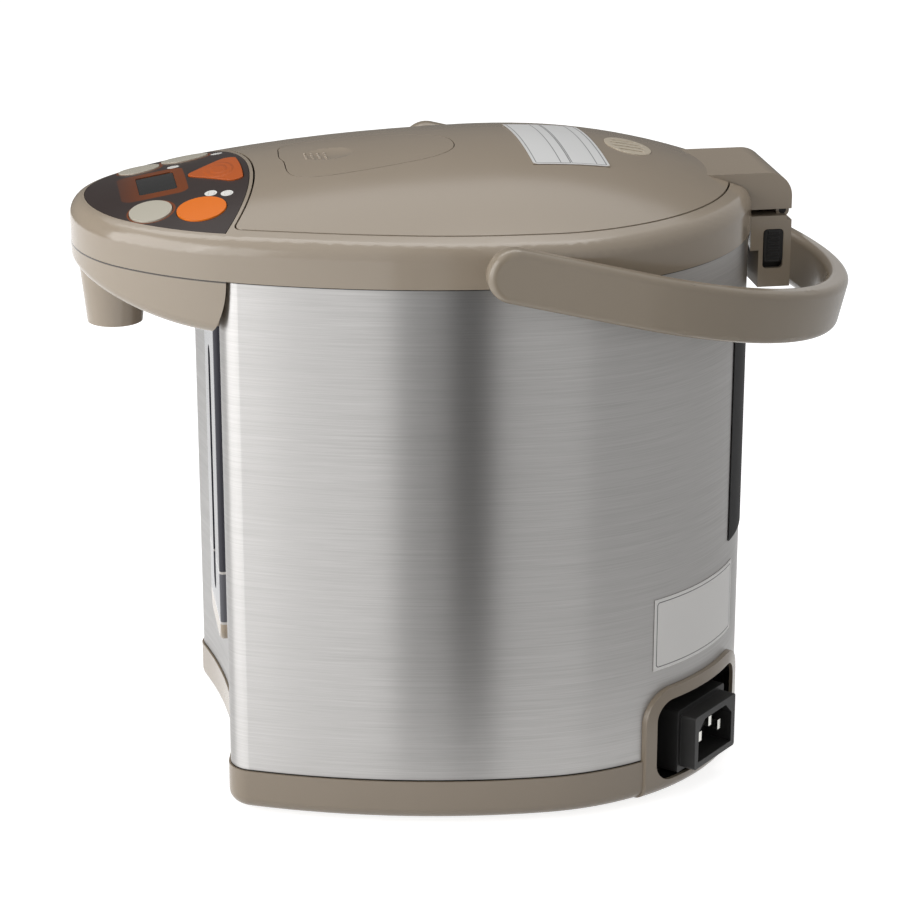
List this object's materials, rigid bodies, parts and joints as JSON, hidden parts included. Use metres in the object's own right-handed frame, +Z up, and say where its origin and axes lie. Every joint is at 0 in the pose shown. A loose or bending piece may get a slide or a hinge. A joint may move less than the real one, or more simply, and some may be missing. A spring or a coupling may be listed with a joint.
{
  "type": "electric thermo pot",
  "caption": "Electric thermo pot with brushed steel body, domed hinged lid, push-button panel over a spout nose, folding bow handle and swivel base.",
  "frame": {"origin": "centre of the footprint's bounding rectangle, on the table", "axes": "+Z up, -Y towards the spout, +Y towards the lid's hinge, +X towards the side with the mains inlet"},
  "size_m": [0.2088, 0.2988, 0.2425],
  "materials": {
    "taupe_gloss": "satin gloss",
    "sheet_steel": "brushed along the circumference",
    "inner_steel": "fine satin",
    "panel_dark": "gloss",
    "front_navy": "gloss",
    "button_orange": "gloss",
    "button_grey": "gloss",
    "clear": "clear",
    "display": "smoked",
    "black": "fine grain",
    "pale_plastic": "plain",
    "silicone": "soft",
    "foot_rubber": "soft",
    "felt": "felt",
    "contact": "bright",
    "heater_metal": "cast",
    "motor_metal": "zinc plated",
    "label": "printed film, blank",
    "plate": "printed film, blank",
    "board": "laminate"
  },
  "bodies": {
    "turntable": {"turntable": "black", "turntable_feet": "foot_rubber"},
    "pot": {"outer_shell": "sheet_steel", "base_tray": "taupe_gloss", "base_screws": "contact", "top_collar": "taupe_gloss", "collar_screws": "contact", "nose_undercover": "taupe_gloss", "spout": "taupe_gloss", "spout_pipe": "silicone", "gauge_tube": "clear", "gauge_window": "clear", "front_panel": "front_navy", "control_panel": "panel_dark", "display_window": "display", "display_module": "black", "control_board": "board", "indicator_lamps": "clear", "hinge_bracket": "taupe_gloss", "hinge_pin": "contact", "handle_pivots": "contact", "inner_container": "inner_steel", "container_seal": "silicone", "insulation_sleeve": "felt", "support_frame": "pale_plastic", "heater_plate": "heater_metal", "thermistor": "black", "thermal_fuse": "pale_plastic", "pump_housing": "pale_plastic", "pump_motor": "motor_metal", "inlet_hose": "silicone", "outlet_hose": "silicone", "power_board": "board", "board_components": "black", "socket_housing": "black", "inlet_block": "black", "inlet_pins": "contact", "rear_plate": "plate", "side_label": "label"},
    "lid": {"lid_cover": "taupe_gloss", "lid_underside": "pale_plastic", "lid_screws": "contact", "inner_lid": "inner_steel", "lid_gasket": "silicone", "steam_vent_cover": "taupe_gloss", "steam_duct": "pale_plastic", "lid_label": "label", "lever_pin": "contact"},
    "opening_lever": {"open_lever": "taupe_gloss"},
    "latch": {"latch_bar": "pale_plastic"},
    "unlock": {"unlock_button": "button_orange"},
    "dispense": {"dispense_button": "button_grey"},
    "timer": {"timer_button": "button_grey"},
    "temperature": {"temperature_button": "button_grey"},
    "reboil": {"reboil_button": "button_orange"},
    "release": {"release_slider": "black"},
    "carry_handle": {"handle": "taupe_gloss"},
    "pump_wheel": {"impeller": "pale_plastic"},
    "rotor": {"motor_rotor": "motor_metal"}
  },
  "joints": [
    {"name": "swivel", "type": "hinge", "parent": "turntable", "child": "pot", "pos_m": [0, 0.008, 0.005], "axis": [0, 0, 1], "continuous": true},
    {"name": "lid_hinge", "type": "hinge", "parent": "pot", "child": "lid", "pos_m": [0, 0.1212, 0.21475], "axis": [-1, 0, 0], "range_deg": [0, 80]},
    {"name": "handle_pivot", "type": "hinge", "parent": "pot", "child": "carry_handle", "pos_m": [0, 0.0015, 0.217], "axis": [1, 0, 0], "range_deg": [0, 110]},
    {"name": "lever_press", "type": "hinge", "parent": "lid", "child": "opening_lever", "pos_m": [0, -0.01, 0.2371], "axis": [1, 0, 0], "range_deg": [0, 3.5], "stiffness_Nm_per_rad": 0.2, "springref_deg": -5.73},
    {"name": "latch_slide", "type": "slide", "parent": "lid", "child": "latch", "axis": [0, 1, 0], "range_m": [0, 0.0027]},
    {"name": "release_slide", "type": "slide", "parent": "pot", "child": "release", "axis": [0, 0, -1], "range_m": [0, 0.0026], "stiffness_N_per_m": 200, "springref_m": -0.001},
    {"name": "unlock_press", "type": "slide", "parent": "pot", "child": "unlock", "axis": [0, 0.158, -0.9874], "range_m": [0, 0.0008], "stiffness_N_per_m": 500, "springref_m": -0.0005},
    {"name": "dispense_press", "type": "slide", "parent": "pot", "child": "dispense", "axis": [0, 0.158, -0.9874], "range_m": [0, 0.0008], "stiffness_N_per_m": 500, "springref_m": -0.0005},
    {"name": "timer_press", "type": "slide", "parent": "pot", "child": "timer", "axis": [0, 0.158, -0.9874], "range_m": [0, 0.0008], "stiffness_N_per_m": 500, "springref_m": -0.0005},
    {"name": "temperature_press", "type": "slide", "parent": "pot", "child": "temperature", "axis": [0, 0.158, -0.9874], "range_m": [0, 0.0008], "stiffness_N_per_m": 500, "springref_m": -0.0005},
    {"name": "reboil_press", "type": "slide", "parent": "pot", "child": "reboil", "axis": [0, 0.158, -0.9874], "range_m": [0, 0.0008], "stiffness_N_per_m": 500, "springref_m": -0.0005},
    {"name": "motor_spin", "type": "hinge", "parent": "pot", "child": "rotor", "pos_m": [0, -0.034, 0.015], "axis": [0, 0, 1], "continuous": true},
    {"name": "pump_spin", "type": "hinge", "parent": "pot", "child": "pump_wheel", "pos_m": [0, -0.034, 0.028], "axis": [0, 0, 1], "continuous": true}
  ],
  "couplings": [
    {"joint": "latch_slide", "follows": "lever_press", "m_per_rad": 0.043},
    {"joint": "pump_spin", "follows": "motor_spin", "ratio": 1}
  ]
}
